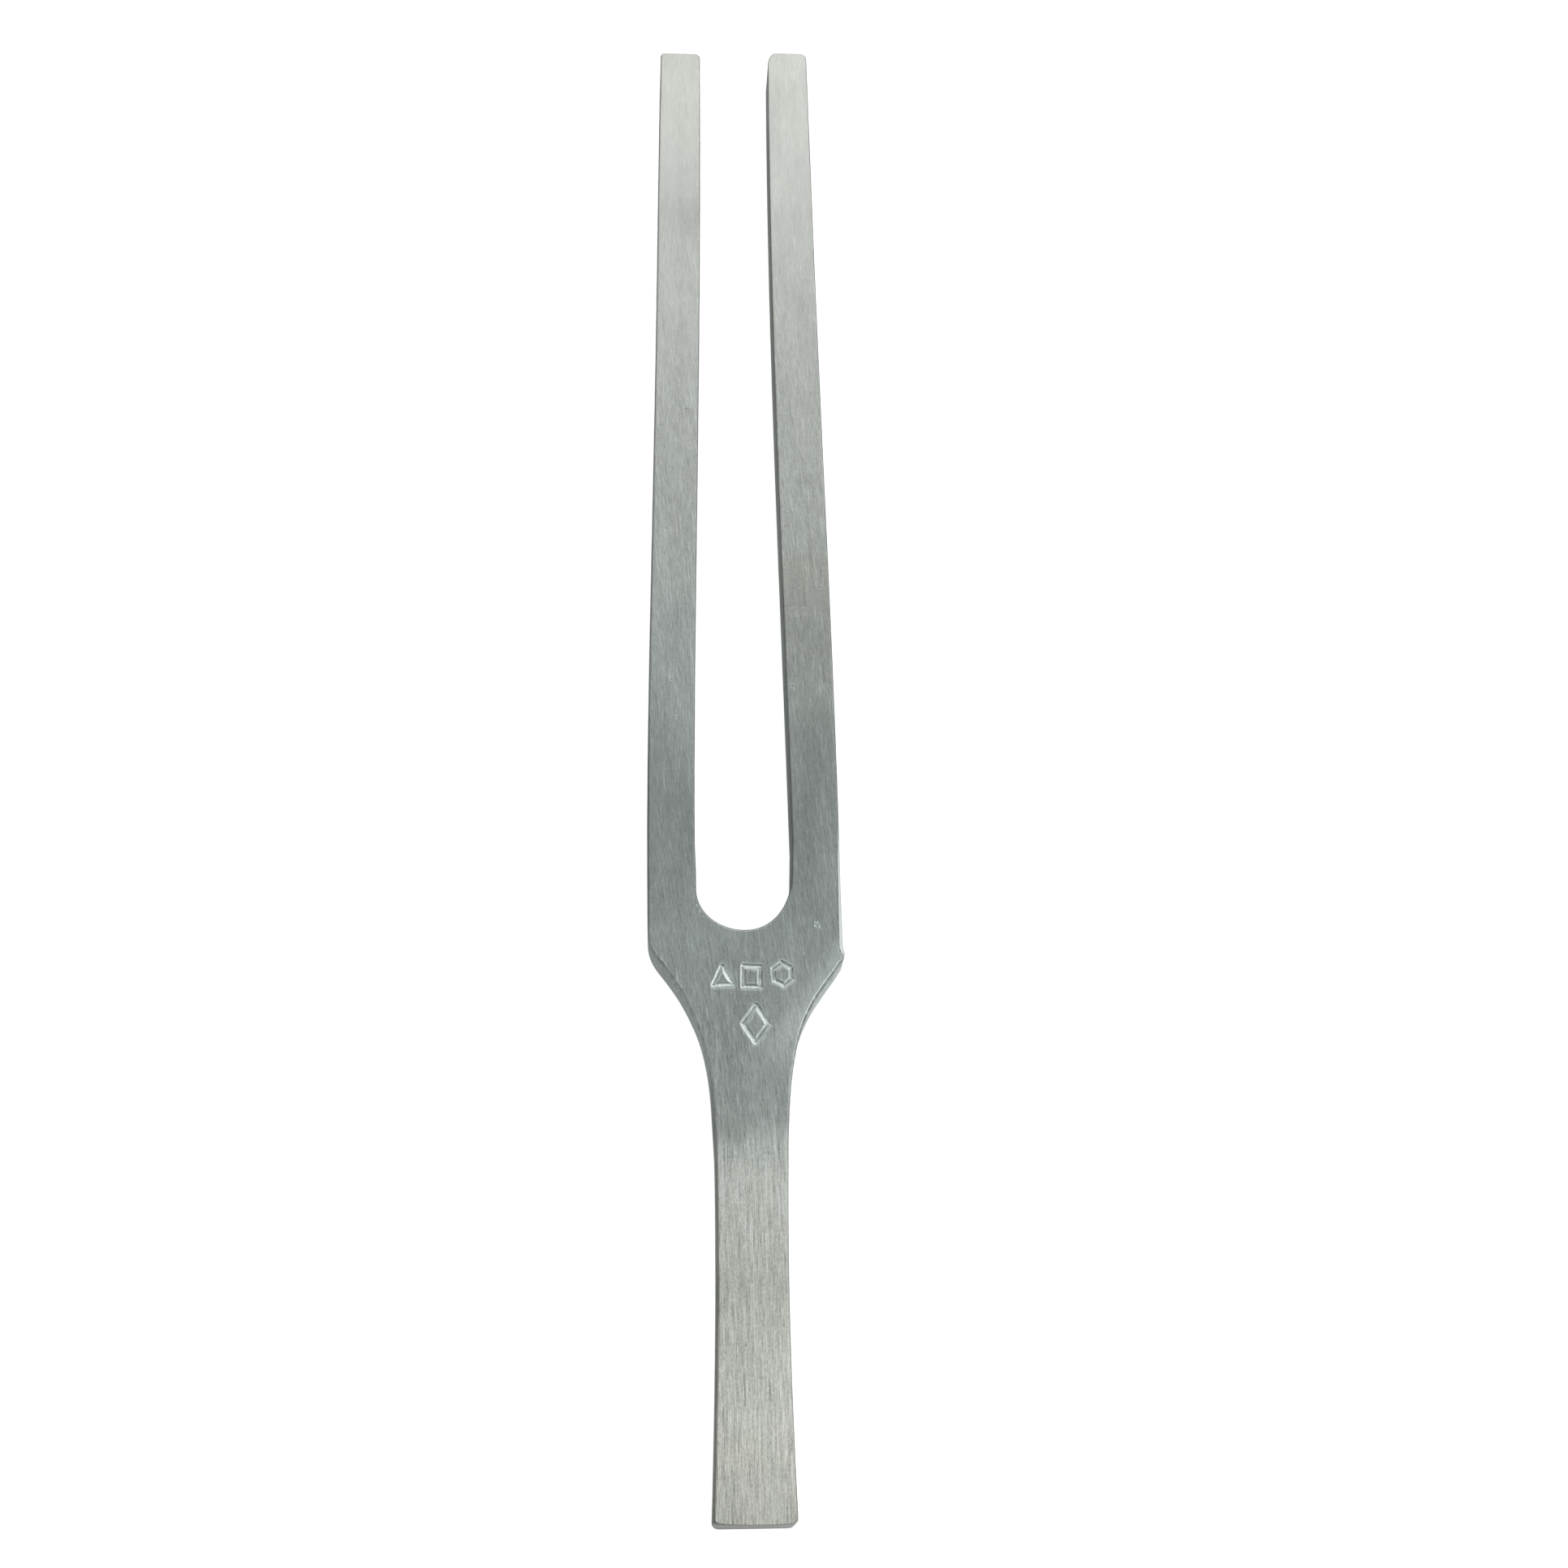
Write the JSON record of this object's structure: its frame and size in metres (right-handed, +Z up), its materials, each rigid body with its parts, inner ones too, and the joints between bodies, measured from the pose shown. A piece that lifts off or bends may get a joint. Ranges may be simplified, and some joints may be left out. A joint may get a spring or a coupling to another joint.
{
  "type": "tuning fork",
  "caption": "Flat-bar aluminium tuning fork whose tines flex in opposition above a yoke and a flat stem.",
  "frame": {"origin": "on the back face, on the slot's centre line, 8 mm below the bottom of the slot, in the middle of the yoke", "axes": "+Y along the fork from the stem to the tips of the tines, +Z up out of the stamped front face, +X across the fork to the right seen from the front"},
  "size_m": [0.0252, 0.2139, 0.0063],
  "materials": {
    "brushed_aluminium": "satin, fine lengthwise linishing grain"
  },
  "bodies": {
    "stem": {"stem_and_yoke": "brushed_aluminium"},
    "left_tine": {"left_tine": "brushed_aluminium"},
    "right_tine": {"right_tine": "brushed_aluminium"}
  },
  "joints": [
    {"name": "left_tine_flex", "type": "hinge", "parent": "stem", "child": "left_tine", "pos_m": [-0.00945, 0.02065, 0.00315], "axis": [0, 0, 1], "range_deg": [-0.5, 0.5], "stiffness_Nm_per_rad": 5},
    {"name": "right_tine_flex", "type": "hinge", "parent": "stem", "child": "right_tine", "pos_m": [0.00945, 0.02065, 0.00315], "axis": [0, 0, 1], "range_deg": [-0.5, 0.5], "stiffness_Nm_per_rad": 5}
  ],
  "couplings": [
    {"joint": "right_tine_flex", "follows": "left_tine_flex", "ratio": -1}
  ]
}
